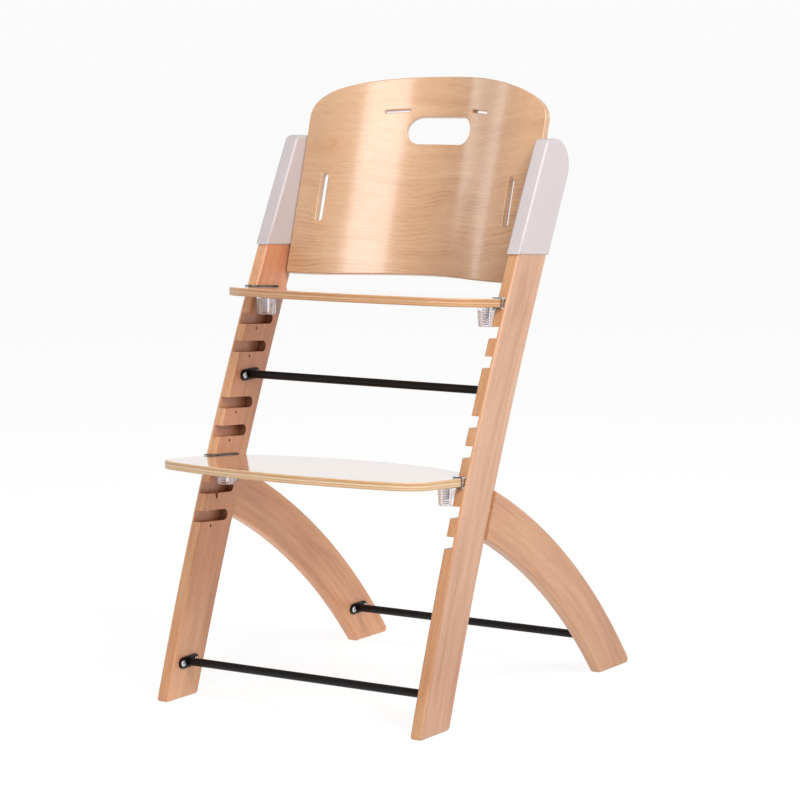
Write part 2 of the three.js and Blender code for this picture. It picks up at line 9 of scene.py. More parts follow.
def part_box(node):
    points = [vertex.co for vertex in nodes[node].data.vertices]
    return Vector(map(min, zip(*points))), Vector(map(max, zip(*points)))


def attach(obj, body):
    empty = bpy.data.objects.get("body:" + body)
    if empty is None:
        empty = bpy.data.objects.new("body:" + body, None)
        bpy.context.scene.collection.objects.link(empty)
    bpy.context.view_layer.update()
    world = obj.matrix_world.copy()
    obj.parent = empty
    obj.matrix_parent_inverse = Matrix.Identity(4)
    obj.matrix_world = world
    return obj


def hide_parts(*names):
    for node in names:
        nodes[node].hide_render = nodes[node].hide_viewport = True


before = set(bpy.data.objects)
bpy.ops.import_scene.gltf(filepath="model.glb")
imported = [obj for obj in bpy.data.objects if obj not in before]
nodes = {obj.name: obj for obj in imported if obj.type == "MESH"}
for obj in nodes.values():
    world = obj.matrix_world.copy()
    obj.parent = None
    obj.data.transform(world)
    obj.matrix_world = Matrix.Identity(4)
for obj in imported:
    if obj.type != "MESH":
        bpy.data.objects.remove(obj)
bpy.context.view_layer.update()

MM = 0.001
PI = math.pi
SEAT_STUD_BACK = 0.23656    # from the front post's toe back to the seat's studs


def middle(node):
    """The middle of a CAD node's box."""
    return sum(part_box(node), Vector()) / 2


# the toe's place in the frame: side views are measured back from it
TOE_Y = middle("seat_stud_left").y - SEAT_STUD_BACK


# ---------------------------------------------------------------- node graphs
class Graph:
    """A material and short ways to add nodes to it."""

    def __init__(self, name, **sockets):
        self.material = bpy.data.materials.new(name)
        self.material.use_nodes = True
        self.tree = self.material.node_tree
        self.shader = self.tree.nodes["Principled BSDF"]
        self.set(**sockets)

    def set(self, **sockets):
        for key, value in sockets.items():
            self.plug(value, self.shader.inputs[key.replace("_", " ")])

    def plug(self, value, socket):
        if isinstance(value, bpy.types.NodeSocket):
            self.tree.links.new(value, socket)
        else:
            socket.default_value = value

    def node(self, kind, inputs=(), **props):
        made = self.tree.nodes.new(kind)
        for key, value in props.items():
            setattr(made, key, value)
        for key, value in dict(inputs).items():
            self.plug(value, made.inputs[key])
        return made

    def math(self, op, a, b=None):
        made = self.node("ShaderNodeMath", operation=op)
        self.plug(a, made.inputs[0])
        if b is not None:
            self.plug(b, made.inputs[1])
        return made.outputs[0]

    def total(self, *terms):
        out = terms[0]
        for term in terms[1:]:
            out = self.math("ADD", out, term)
        return out

    def scaled(self, a, k):
        return self.math("MULTIPLY", a, k)

    def place(self):
        """Object coordinates, which are the chair's frame at rest."""
        made = self.node("ShaderNodeTexCoord")
        split = self.node("ShaderNodeSeparateXYZ", {"Vector": made.outputs["Object"]})
        return split.outputs[0], split.outputs[1], split.outputs[2]

    def facing(self):
        """The surface's direction, along the same axes."""
        made = self.node("ShaderNodeTexCoord")
        split = self.node("ShaderNodeSeparateXYZ", {"Vector": made.outputs["Normal"]})
        return split.outputs[0], split.outputs[1], split.outputs[2]

    def vector(self, x, y, z):
        return self.node("ShaderNodeCombineXYZ", {"X": x, "Y": y, "Z": z}).outputs[0]

    def noise(self, vector, scale, detail=2.0, rough=0.5, warp=0.0):
        made = self.node("ShaderNodeTexNoise", {
            "Vector": vector, "Scale": scale, "Detail": detail, "Roughness": rough, "Distortion": warp})
        return made.outputs["Fac"]

    def within(self, value, target, slack):
        """1 where value is no more than slack away from target."""
        out = self.math("COMPARE", value, target)
        out.node.inputs[2].default_value = slack
        return out

    def spread(self, value, low, high, to_low=0.0, to_high=1.0):
        made = self.node("ShaderNodeMapRange", {
            "Value": value, "From Min": low, "From Max": high, "To Min": to_low, "To Max": to_high},
            clamp=True)
        return made.outputs[0]

    def ramp(self, value, stops, kind="LINEAR"):
        made = self.node("ShaderNodeValToRGB", {"Fac": value})
        ramp = made.color_ramp
        ramp.interpolation = kind
        while len(ramp.elements) < len(stops):
            ramp.elements.new(0.5)
        for element, (at, colour) in zip(ramp.elements, stops):
            element.position = at
            element.color = (*colour, 1)
        return made.outputs["Color"]

    def mix(self, share, a, b, blend="MIX"):
        made = self.node("ShaderNodeMix", data_type="RGBA", blend_type=blend)
        for index, value in ((0, share), (6, a), (7, b)):
            if isinstance(value, tuple) and len(value) == 3:
                value = (*value, 1)
            self.plug(value, made.inputs[index])
        return made.outputs[2]

    def bump(self, height, strength, distance):
        made = self.node("ShaderNodeBump", {
            "Height": height, "Strength": strength, "Distance": distance})
        self.plug(made.outputs[0], self.shader.inputs["Normal"])


# ---------------------------------------------------------------- wood
GROOVE_FLOOR = 0.22285      # distance of the grooves' floors from the chair's middle
GROOVE_SLACK = 0.0006
GROOVE_END = 0.074          # the grooves' round ends lie before this depth into the post
POST_SLOPE = 0.3251         # the posts' front face stands back by slope times height
POST_BOW = 0.1321           # and bow times height squared
LEG_ARC_Y = -0.2328         # centre of the rear legs' arcs, from the toe
LEG_ARC_Z = -0.606


def groove_painted_shade(g, x, across):
    """Painted shade in the grooves of a post's inner face, deepest at their back ends; 0 elsewhere."""
    nx, _, _ = g.facing()
    sideways = g.math("ABSOLUTE", nx)
    deep = g.math("ABSOLUTE", x)
    within = g.math("LESS_THAN", deep, GROOVE_FLOOR + GROOVE_SLACK)
    behind_front = g.spread(across, 0.002, 0.006)
    before_end = g.spread(across, GROOVE_END + 0.004, GROOVE_END - 0.004)
    reach = g.math("MULTIPLY", behind_front, before_end)
    wall = g.math("MULTIPLY", g.math("LESS_THAN", sideways, 0.6), reach)
    at_floor = g.math("GREATER_THAN", deep, GROOVE_FLOOR - GROOVE_SLACK)
    floor = g.math("MULTIPLY", g.math("GREATER_THAN", sideways, 0.6), at_floor)
    inside = g.math("MULTIPLY", within, g.math("MAXIMUM", wall, floor))
    share = g.total(g.scaled(wall, 0.40), g.spread(across, 0.030, 0.062, 0.02, 0.46))
    return g.math("MULTIPLY", inside, g.math("MINIMUM", share, 0.8))


def beech(name, kind, side, front, side_low_shading=(1, 1, 1), front_low_shading=(1, 1, 1)):
    """Solid beech: long fibres, short dark ray flecks, pinkish sides and golden front faces.
    side and front are tints per piece and also hold painted light and shade; the low ones multiply them
    near the floor."""
    g = Graph(name, Coat_Weight=0.35, Coat_Roughness=0.25, Coat_IOR=1.45)
    x, y, z = g.place()
    back = g.math("SUBTRACT", y, TOE_Y)
    # lengths across and along the grain, which follows the post's lean or the leg's arc
    if kind == "post":
        front_face = g.total(g.scaled(z, POST_SLOPE), g.scaled(g.math("MULTIPLY", z, z), POST_BOW))
        across = g.scaled(g.math("SUBTRACT", back, front_face), 0.93)
        along = g.scaled(z, 1.08)
    else:
        dy = g.math("SUBTRACT", back, LEG_ARC_Y)
        dz = g.math("SUBTRACT", z, LEG_ARC_Z)
        across = g.math("SQRT", g.total(g.math("MULTIPLY", dy, dy), g.math("MULTIPLY", dz, dz)))
        along = g.scaled(g.math("ARCTAN2", dy, dz), 0.98)
    sway = g.noise(g.vector(x, across, g.scaled(along, 0.6)), 4.0, 1.0)
    swept = g.total(across, g.scaled(sway, 0.030))
    broad = g.noise(g.vector(x, swept, g.scaled(along, 0.16)), 24.0, 2.0, 0.5, 0.4)
    streak = g.noise(g.vector(x, swept, g.scaled(along, 0.045)), 150.0, 3.0, 0.6)
    fibre = g.noise(g.vector(x, swept, g.scaled(along, 0.02)), 900.0, 2.0, 0.6)
    fleck = g.noise(g.vector(x, swept, g.scaled(along, 0.30)), 430.0, 1.0, 0.5)
    pore = g.noise(g.vector(x, swept, g.scaled(along, 0.12)), 1300.0, 1.0, 0.5)
    tone = g.total(g.scaled(broad, 0.46), g.scaled(streak, 0.38), g.scaled(fibre, 0.26), 0.01)
    colour = g.ramp(tone, [
        (0.42, (0.430, 0.215, 0.126)),
        (0.53, (0.518, 0.288, 0.180)),
        (0.62, (0.565, 0.335, 0.218)),
        (0.73, (0.620, 0.392, 0.266))])
    _, ny, _ = g.facing()
    facing_front = g.spread(g.math("ABSOLUTE", ny), 0.55, 0.85)
    # near the floor, where the low tints paint light and shade
    low = g.spread(z, 0.07, 0.20, 1.0, 0.0)
    sided = g.mix(low, side, tuple(a * b for a, b in zip(side, side_low_shading)))
    golden = g.mix(low, front, tuple(a * b for a, b in zip(front, front_low_shading)))
    colour = g.mix(1.0, colour, g.mix(facing_front, sided, golden), "MULTIPLY")
    colour = g.mix(g.spread(pore, 0.60, 0.74, 0.0, 0.38), colour, (0.30, 0.130, 0.060))
    dark = g.spread(fleck, 0.63, 0.72)
    patch = g.spread(broad, 0.46, 0.62)
    by_face = g.spread(facing_front, 0.0, 1.0, 0.25, 0.75)
    share = g.math("MULTIPLY", g.math("MULTIPLY", dark, patch), by_face)
    colour = g.mix(share, colour, (0.27, 0.115, 0.050))
    if kind == "post":
        # painted shade inside the grooves, darker towards their back ends
        colour = g.mix(groove_painted_shade(g, x, across), colour, (0.115, 0.036, 0.016))
    g.plug(colour, g.shader.inputs["Base Color"])
    g.plug(g.spread(fibre, 0.3, 0.7, 0.36, 0.48), g.shader.inputs["Roughness"])
    g.bump(g.total(g.scaled(fibre, 0.6), g.scaled(streak, 0.6)), 0.10, 0.0004)
    return g.material


BACK_T = 0.0134             # backrest, measured level from front to back
LEAN = 0.298                # how far it stands back as it rises
FACE_Y = TOE_Y + 0.3968     # its front face on the middle line, at height FACE_Z
FACE_Z = 0.723
BELL_DEPTH = 0.0537         # hollow in its middle
BELL_HALF = 0.1808
HANDLE = (0.0, 0.8119, 0.1095, 0.0405)                  # centre x, z, width, height
TOP_SLOT = (0.0715, 0.8405, 0.035, 0.0038, 0.052)       # the same and tilt, outer end lower
SIDE_SLOT = (0.163, 0.7135, 0.0102, 0.071, 0.0)


def back_front(x, z):
    """Y of the backrest's front face: a bell-shaped hollow on a leaning plane."""
    u = min(abs(x), BELL_HALF) / BELL_HALF
    return FACE_Y + LEAN * (z - FACE_Z) - BELL_DEPTH * (1 - math.cos(PI * u)) / 2


def back_slope(x):
    """How fast back_front changes with x."""
    if abs(x) >= BELL_HALF:
        return 0.0
    return -math.copysign(BELL_DEPTH * PI / (2 * BELL_HALF) * math.sin(PI * abs(x) / BELL_HALF), x)


LINE_PITCH = 0.0056         # between the veneer's thin dark growth lines
SWIRL_X = -0.165            # the backrest's knot-like swirl
SWIRL_Z = 0.790
SWIRL_REACH = 0.060


def veneer(name, across, swirled, gloss, lacquer):
    """Lacquered face veneer, grain from side to side; across(y, z) measures over the grain."""
    g = Graph(name, Coat_Weight=1.0, Coat_Roughness=gloss, Coat_IOR=1.5)
    x, y, z = g.place()
    v = across(y, z)
    wave = g.noise(g.vector(x, 0.0, g.scaled(v, 1.6)), 3.4, 2.0, 0.5)
    ripple = g.noise(g.vector(x, 0.0, g.scaled(v, 1.5)), 13.0, 2.0, 0.5)
    height = g.total(v, g.scaled(wave, 0.080), g.scaled(ripple, 0.010))
    if swirled:
        sx = g.math("SUBTRACT", x, SWIRL_X)
        sz = g.scaled(g.math("SUBTRACT", z, SWIRL_Z), 2.2)
        far = g.math("SQRT", g.total(g.math("MULTIPLY", sx, sx), g.math("MULTIPLY", sz, sz)))
        swirl = g.spread(far, 0.0, SWIRL_REACH, 1.0, 0.0)
        height = g.total(height, g.scaled(g.math("MULTIPLY", swirl, swirl), 0.030))
    spacing = g.noise(g.vector(0.0, 0.0, height), 14.0, 1.0, 0.5)
    turn = g.math("SINE", g.scaled(g.total(height, g.scaled(spacing, 0.03)), 2 * PI / LINE_PITCH))
    line = g.math("POWER", g.scaled(g.math("ADD", turn, 1.0), 0.5), 4.0)
    shown = g.noise(g.vector(g.scaled(x, 0.9), 0.0, height), 22.0, 2.0, 0.5)
    line = g.math("MULTIPLY", line, g.spread(shown, 0.42, 0.60))
    if swirled:
        line = g.math("MULTIPLY", line, g.spread(z, 0.79, 0.71, 0.3, 1.0))
    band = g.noise(g.vector(g.scaled(x, 0.10), 0.0, height), 75.0, 3.0, 0.55)
    broad = g.noise(g.vector(g.scaled(x, 0.35), 0.0, v), 9.0, 2.0, 0.5)
    fibre = g.noise(g.vector(g.scaled(x, 0.03), 0.0, height), 1100.0, 2.0, 0.6)
    dash = g.noise(g.vector(g.scaled(x, 0.22), 0.0, height), 420.0, 2.0, 0.5)
    tone = g.total(g.scaled(band, 0.36), g.scaled(broad, 0.36), g.scaled(fibre, 0.22), g.scaled(dash, 0.22),
                   g.scaled(line, -0.13))
    colour = g.ramp(tone, [
        (0.36, (0.385, 0.185, 0.082)),
        (0.48, (0.495, 0.272, 0.142)),
        (0.59, (0.545, 0.320, 0.178)),
        (0.74, (0.600, 0.378, 0.228))])
    if swirled:
        stain = g.math("MULTIPLY", g.math("MULTIPLY", swirl, swirl), g.spread(band, 0.40, 0.58))
        colour = g.mix(g.scaled(stain, 0.8), colour, (0.45, 0.185, 0.065))
    g.plug(colour, g.shader.inputs["Base Color"])
    g.plug(g.spread(fibre, 0.3, 0.7, lacquer, lacquer + 0.08), g.shader.inputs["Roughness"])
    if swirled:
        press = g.noise(g.vector(x, 0.0, g.scaled(v, 0.03)), 42.0, 3.0, 0.6)
        g.bump(g.total(g.scaled(press, 2.2), g.scaled(fibre, 0.2)), 0.6, 0.00022)
    else:
        g.bump(fibre, 0.04, 0.0001)
    return g.material


CREAM = (0.66, 0.47, 0.29)
TAN = (0.56, 0.36, 0.20)
BROWN = (0.47, 0.245, 0.10)
SEAM = (0.20, 0.095, 0.045)
# painted shade for the walls of the two thin upper slots
SLOT_SHADE_COLOUR = (0.11, 0.040, 0.014)
BOARD_PLIES = [
    (0.0, CREAM), (0.09, BROWN), (0.34, SEAM), (0.39, CREAM), (0.58, TAN), (0.62, SEAM),
    (0.66, TAN), (0.86, BROWN), (0.95, TAN)]
BACK_PLIES = [
    (0.0, TAN), (0.10, BROWN), (0.24, TAN), (0.36, CREAM), (0.50, BROWN), (0.62, CREAM),
    (0.76, TAN), (0.90, BROWN)]


def ply_edge(name, depth_of, thickness, plies, tone=(1, 1, 1), shade_slots=False):
    """Cut plywood edge, softly mottled. Plies are listed from the face down, as the part of the
    thickness where each starts and its colour. The last argument paints shade on the walls of the two thin
    upper slots."""
    g = Graph(name, Coat_Weight=0.25, Coat_Roughness=0.25)
    x, y, z = g.place()
    depth = depth_of(g, x, y, z)
    ripple = g.noise(g.vector(g.scaled(x, 0.3), g.scaled(y, 0.3), 0.0), 60.0, 1.0, 0.5)
    level = g.total(g.scaled(depth, 1 / thickness), g.spread(ripple, 0.2, 0.8, -0.02, 0.02))
    grain = g.noise(g.vector(g.scaled(x, 0.08), g.scaled(y, 0.08), depth), 900.0, 2.0, 0.5)
    pores = g.noise(g.vector(x, y, g.scaled(depth, 2.0)), 1500.0, 1.0, 0.5)
    patch = g.noise(g.vector(x, y, 0.0), 16.0, 2.0, 0.5)
    stops = [(start, tuple(a * b for a, b in zip(colour, tone))) for start, colour in plies]
    colour = g.ramp(level, stops, "CONSTANT")
    pale = tuple(a * b for a, b in zip((0.60, 0.39, 0.22), tone))
    colour = g.mix(g.spread(patch, 0.35, 0.75, 0.05, 0.5), colour, pale)
    shade = g.total(g.scaled(grain, 0.6), g.scaled(pores, 0.4))
    colour = g.mix(g.spread(shade, 0.35, 0.65, 0.0, 0.32), colour, tuple(v * 0.55 for v in pale))
    # painted shade on the walls of the two thin upper slots
    if shade_slots:
        near_x = g.within(g.math("ABSOLUTE", x), TOP_SLOT[0], 0.022)
        near_z = g.within(z, TOP_SLOT[1] - 0.002, 0.008)
        colour = g.mix(g.scaled(g.math("MULTIPLY", near_x, near_z), 0.9), colour, SLOT_SHADE_COLOUR)
    g.plug(colour, g.shader.inputs["Base Color"])
    g.plug(g.spread(pores, 0.3, 0.7, 0.36, 0.5), g.shader.inputs["Roughness"])
    g.bump(pores, 0.12, 0.0003)
    return g.material


def moulded(name, colour, rough, grain_scale, depth, **more):
    """Painted or moulded surface with a fine even texture, depth high."""
    g = Graph(name, **more)
    x, y, z = g.place()
    fine = g.noise(g.vector(x, y, z), grain_scale, 2.0, 0.6)
    slow = g.noise(g.vector(x, y, z), 22.0, 2.0, 0.5)
    g.plug(g.mix(slow, tuple(v * 0.965 for v in colour), tuple(min(1.0, v * 1.03) for v in colour)),
           g.shader.inputs["Base Color"])
    g.plug(g.spread(fine, 0.3, 0.7, rough - 0.05, rough + 0.05), g.shader.inputs["Roughness"])
    g.bump(fine, 0.18, depth)
    return g.material


def clear(name, rough, colour, transmission, ior, glow):
    """Clear plastic with faint flow haze; glow stands in for the light it gathers."""
    g = Graph(name, IOR=ior, Transmission_Weight=transmission,
              Emission_Color=(1.0, 0.96, 0.98, 1), Emission_Strength=glow)
    x, y, z = g.place()
    haze = g.noise(g.vector(x, y, z), 160.0, 2.0, 0.5)
    g.plug(g.mix(haze, colour, tuple(v * 0.93 for v in colour)), g.shader.inputs["Base Color"])
    g.plug(g.spread(haze, 0.3, 0.7, rough * 0.6, rough * 1.4), g.shader.inputs["Roughness"])
    g.bump(haze, 0.05, 0.0002)
    return g.material


TILT = 0.0765               # the boards fall towards the back by this angle
BOARD_T = 0.012
STUD_BACK = 0.005           # from the posts' front face back to the middle of a stud
STUD_BELOW = 0.0117         # from the board's middle plane down to it


def tilted(y, z):
    """Lengths along and square to a tilted board, as level and upright ones."""
    c, s = math.cos(TILT), math.sin(TILT)
    return y * c + z * s, -y * s + z * c


def board_origin(stem):
    """Where the board's middle plane meets the posts' front face, found from its stud."""
    stud = middle(f"{stem}_stud_left")
    dy, dz = tilted(-STUD_BACK, STUD_BELOW)
    return Vector((0, stud.y + dy, stud.z + dz))


def board_depth(stem):
    """A graph function for the depth below a tilted board's top face."""
    origin = board_origin(stem)

    def depth(g, x, y, z):
        back = g.scaled(g.math("SUBTRACT", y, origin.y), math.sin(TILT))
        up = g.scaled(g.math("SUBTRACT", z, origin.z), math.cos(TILT))
        return g.math("SUBTRACT", BOARD_T / 2, g.math("ADD", back, up))
    return depth


def back_depth(g, x, y, z):
    """Depth behind the backrest's front face."""
    u = g.math("MINIMUM", g.math("ABSOLUTE", x), BELL_HALF)
    bell = g.scaled(g.math("SUBTRACT", 1.0, g.math("COSINE", g.scaled(u, PI / BELL_HALF))), BELL_DEPTH / 2)
    lean = g.scaled(g.math("SUBTRACT", z, FACE_Z), LEAN)
    front = g.math("SUBTRACT", g.math("ADD", lean, FACE_Y), bell)
    return g.math("SUBTRACT", y, front)


# the tints hold painted light and shade: the left post's side darker and redder, as shade under the boards,
# and lighter near the floor; the left leg lighter than the right; the right post's front dimmer; each
# post's faces lighter or darker near the floor
RIGHT_POST = beech("beech_right_post", "post", (0.96, 0.94, 0.92), (0.92, 0.79, 0.58),
                   side_low_shading=(0.94, 0.84, 0.78), front_low_shading=(1.04, 1.08, 1.10))
LEFT_POST = beech("beech_left_post", "post", (1.04, 0.79, 0.62), (1.14, 1.02, 0.82),
                  side_low_shading=(1.10, 1.26, 1.32), front_low_shading=(0.90, 0.82, 0.74))
RIGHT_LEG = beech("beech_right_leg", "leg", (0.93, 0.80, 0.65), (0.93, 0.80, 0.65))
LEFT_LEG = beech("beech_left_leg", "leg", (1.20, 0.97, 0.74), (1.20, 0.97, 0.74))
VENEER = veneer("face_veneer", lambda y, z: z, True, 0.17, 0.34)
BOARD_FACE = veneer("board_face_veneer", lambda y, z: y, False, 0.07, 0.12)
BACK_EDGE = ply_edge("backrest_ply_edge", back_depth, BACK_T, BACK_PLIES, (1.1, 1.15, 1.2), True)
CAP = moulded("cap_plastic", (0.49, 0.435, 0.44), 0.40, 1400.0, 0.0001, Coat_Weight=0.1)
BLACK = moulded("black_powder_coat", (0.0055, 0.0042, 0.004), 0.38, 2400.0, 0.0002,
                Specular_IOR_Level=0.22)
SCREW = moulded("bright_zinc", (0.60, 0.61, 0.64), 0.24, 900.0, 0.00005, Metallic=1.0)
CLIP = clear("clear_clip", 0.05, (0.93, 0.91, 0.92), 0.97, 1.49, 0.0)
KNOB = clear("clear_knob", 0.04, (1.0, 0.99, 1.0), 1.0, 1.36, 0.035)
# darker clear plastic for the knobs' rib grooves: painted shade
KNOB_GROOVE_SHADE = clear("clear_knob_groove_shade", 0.12, (0.46, 0.43, 0.46), 0.95, 1.36, 0.0)
DOWEL = moulded("dowel_beech", (0.64, 0.44, 0.28), 0.7, 700.0, 0.0003)


# ---------------------------------------------------------------- CAD nodes that stay
def smooth_group():
    """Geometry nodes: smooth faces, sharp only where two faces turn by more than 50 degrees."""
    tree = bpy.data.node_groups.new("smooth_by_angle", "GeometryNodeTree")
    tree.interface.new_socket("Geometry", in_out="INPUT", socket_type="NodeSocketGeometry")
    tree.interface.new_socket("Geometry", in_out="OUTPUT", socket_type="NodeSocketGeometry")
    start = tree.nodes.new("NodeGroupInput")
    end = tree.nodes.new("NodeGroupOutput")
    face = tree.nodes.new("GeometryNodeSetShadeSmooth")
    edge = tree.nodes.new("GeometryNodeSetShadeSmooth")
    edge.domain = "EDGE"
    angle = tree.nodes.new("GeometryNodeInputMeshEdgeAngle")
    near = tree.nodes.new("ShaderNodeMath")
    near.operation = "LESS_THAN"
    near.inputs[1].default_value = math.radians(50)
    link = tree.links.new
    link(start.outputs[0], face.inputs["Geometry"])
    link(face.outputs[0], edge.inputs["Geometry"])
    link(angle.outputs["Unsigned Angle"], near.inputs[0])
    link(near.outputs[0], edge.inputs["Shade Smooth"])
    link(edge.outputs[0], end.inputs[0])
    return tree


SMOOTH = smooth_group()


def dress(node, material):
    """Gives a CAD node its finish and shades its rounded edges smoothly."""
    obj = nodes[node]
    obj.data.materials.clear()
    obj.data.materials.append(material)
    weld = obj.modifiers.new("weld", "WELD")
    weld.merge_threshold = 0.00002
    smooth = obj.modifiers.new("smooth", "NODES")
    smooth.node_group = SMOOTH
    even = obj.modifiers.new("even", "WEIGHTED_NORMAL")
    even.keep_sharp = True
    even.weight = 90


for name in nodes:
    if name.endswith("_post"):
        dress(name, LEFT_POST if name.startswith("left") else RIGHT_POST)
    elif name.endswith("_rear_leg"):
        dress(name, LEFT_LEG if name.startswith("left") else RIGHT_LEG)
    elif name.endswith("_cap"):
        dress(name, CAP)
    elif name.endswith("_crossbar"):
        dress(name, BLACK)
    elif "_clip_" in name:
        dress(name, CLIP)
    elif "_stud_" in name or name.startswith("backrest_screw"):
        dress(name, SCREW)
    elif "_dowel_" in name:
        dress(name, DOWEL)


# ---------------------------------------------------------------- mesh helpers
def make(name, verts, faces, materials, face_materials=None, smooth=True):
    mesh = bpy.data.meshes.new(name)
    mesh.from_pydata([tuple(v) for v in verts], [], faces)
    for material in materials:
        mesh.materials.append(material)
    if face_materials:
        mesh.polygons.foreach_set("material_index", face_materials)
    mesh.polygons.foreach_set("use_smooth", [smooth] * len(mesh.polygons))
    mesh.validate()
    mesh.update()
    obj = bpy.data.objects.new(name, mesh)
    bpy.context.scene.collection.objects.link(obj)
    return obj


def outward(obj):
    """Joins doubled points and turns all faces out."""
    work = bmesh.new()
    work.from_mesh(obj.data)
    bmesh.ops.remove_doubles(work, verts=work.verts, dist=1e-7)
    bmesh.ops.recalc_face_normals(work, faces=work.faces)
    work.to_mesh(obj.data)
    work.free()
    obj.data.update()


def stack_rings(rings, capped=True):
    """Faces between equal closed rings of points, given in order, with flat ends if capped."""
    verts = [p for ring in rings for p in ring]
    n = len(rings[0])
    faces = []
    for i in range(len(rings) - 1):
        for j in range(n):
            k = (j + 1) % n
            faces.append((i * n + j, i * n + k, (i + 1) * n + k, (i + 1) * n + j))
    if capped:
        faces.append(tuple(range(n - 1, -1, -1)))
        faces.append(tuple(range((len(rings) - 1) * n, len(rings) * n)))
    return verts, faces


def arc(cx, cy, r, a0, a1, n):
    """n + 1 points on a circle from angle a0 to a1."""
    return [(cx + r * math.cos(a0 + (a1 - a0) * i / n), cy + r * math.sin(a0 + (a1 - a0) * i / n))
            for i in range(n + 1)]


# ---------------------------------------------------------------- seat and footrest boards
BOARD_HALF = 0.2209
EDGE_ROUND = 0.0017
# lengths from the posts' front face: edges on the middle line, their bows, the corner radii
SEAT = dict(front=-0.1255, back=0.130, bow_f=0.617, bow_b=0.303, r_f=0.090, r_b=0.009)
FOOT = dict(front=-0.163, back=0.1265, bow_f=0.617, bow_b=0.316, r_f=0.052, r_b=0.009)


def board_outline(b, inset):
    """Rounded board outline, drawn smaller by inset."""
    xf, xb = BOARD_HALF - b["r_f"], BOARD_HALF - b["r_b"]
    fc, bc = b["front"] + b["bow_f"], b["back"] - b["bow_b"]
    yf = fc - math.sqrt((b["bow_f"] - b["r_f"]) ** 2 - xf ** 2)
    yb = bc + math.sqrt((b["bow_b"] - b["r_b"]) ** 2 - xb ** 2)
    af = math.asin(xf / (b["bow_f"] - b["r_f"]))
    ab = math.asin(xb / (b["bow_b"] - b["r_b"]))
    q = PI / 2
    out = arc(0, fc, b["bow_f"] - inset, -q - af, -q + af, 40)
    out += arc(xf, yf, b["r_f"] - inset, -q + af, 0, 20)[1:]
    out += arc(xb, yb, b["r_b"] - inset, 0, q - ab, 10)
    out += arc(0, bc, b["bow_b"] - inset, q - ab, q + ab, 40)[1:]
    out += arc(-xb, yb, b["r_b"] - inset, q + ab, 2 * q, 10)[1:]
    out += arc(-xf, yf, b["r_f"] - inset, 2 * q, 3 * q - af, 20)[:-1]
    return out


def build_board(stem, b, tone):
    """Plywood board with softly rounded edges, glossy face veneers and a visible ply edge."""
    origin = board_origin(stem)
    turns = 5
    angles = [i / turns * PI / 2 for i in range(turns + 1)]
    profile = [(EDGE_ROUND * (1 - math.sin(a)), BOARD_T / 2 - EDGE_ROUND * (1 - math.cos(a)))
               for a in angles]
    profile += [(inset, -h) for inset, h in reversed(profile)]
    rings = []
    for inset, h in profile:
        ring = []
        for px, py in board_outline(b, inset):
            dy, dz = tilted(py, h)
            ring.append((px, origin.y + dy, origin.z + dz))
        rings.append(ring)
    verts, faces = stack_rings(rings)
    sides = len(rings[0]) * (len(rings) - 1)
    edge_wood = ply_edge(f"{stem}_ply_edge", board_depth(stem), BOARD_T, BOARD_PLIES, tone)
    obj = make(f"{stem}_board_ply", verts, faces, [BOARD_FACE, edge_wood], [1] * sides + [0, 0])
    outward(obj)
    for face in obj.data.polygons:
        face.use_smooth = len(face.vertices) <= 4
    even = obj.modifiers.new("even", "WEIGHTED_NORMAL")
    even.weight = 90
    even.keep_sharp = True
    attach(obj, stem)
    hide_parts(f"{stem}_board")


build_board("seat", SEAT, (0.93, 0.77, 0.65))
build_board("footrest", FOOT, (1.08, 1.1, 1.1))


# ---------------------------------------------------------------- backrest
BACK_HALF = 0.2066
BACK_LOW = 0.601
BACK_CORNER = 0.005
SHOULDER = 0.830            # the top is half a superellipse, this high at its ends
CROWN = 0.0615              # and higher by this in the middle
POWER = 2.4
BACK_ROUND = 0.0018


def obround(cx, cz, w, h, n=12, tilt=0.0):
    """A slot's outline with round ends, n steps in each."""
    r = min(w, h) / 2
    reach = max(w, h) / 2 - r
    pts = arc(reach, 0, r, -PI / 2, PI / 2, n) + arc(-reach, 0, r, PI / 2, 1.5 * PI, n)
    turn = tilt + (PI / 2 if h > w else 0.0)
    c, s = math.cos(turn), math.sin(turn)
    return [(cx + p * c - q * s, cz + p * s + q * c) for p, q in pts]


def back_outline():
    """The backrest's outline, from the left shoulder over the top and round the lower corners."""
    steps = 44
    out = []
    for i in range(-steps, steps + 1):
        a = i / steps * PI / 2
        px = math.copysign(BACK_HALF * abs(math.sin(a)) ** (2 / POWER), a)
        rise = 0.0 if abs(i) == steps else CROWN * math.cos(a) ** (2 / POWER)
        out.append((px, SHOULDER + rise))
    x, z = BACK_HALF - BACK_CORNER, BACK_LOW + BACK_CORNER
    out += arc(x, z, BACK_CORNER, 0, -PI / 2, 6)
    out += arc(-x, z, BACK_CORNER, -PI / 2, -PI, 6)
    return out


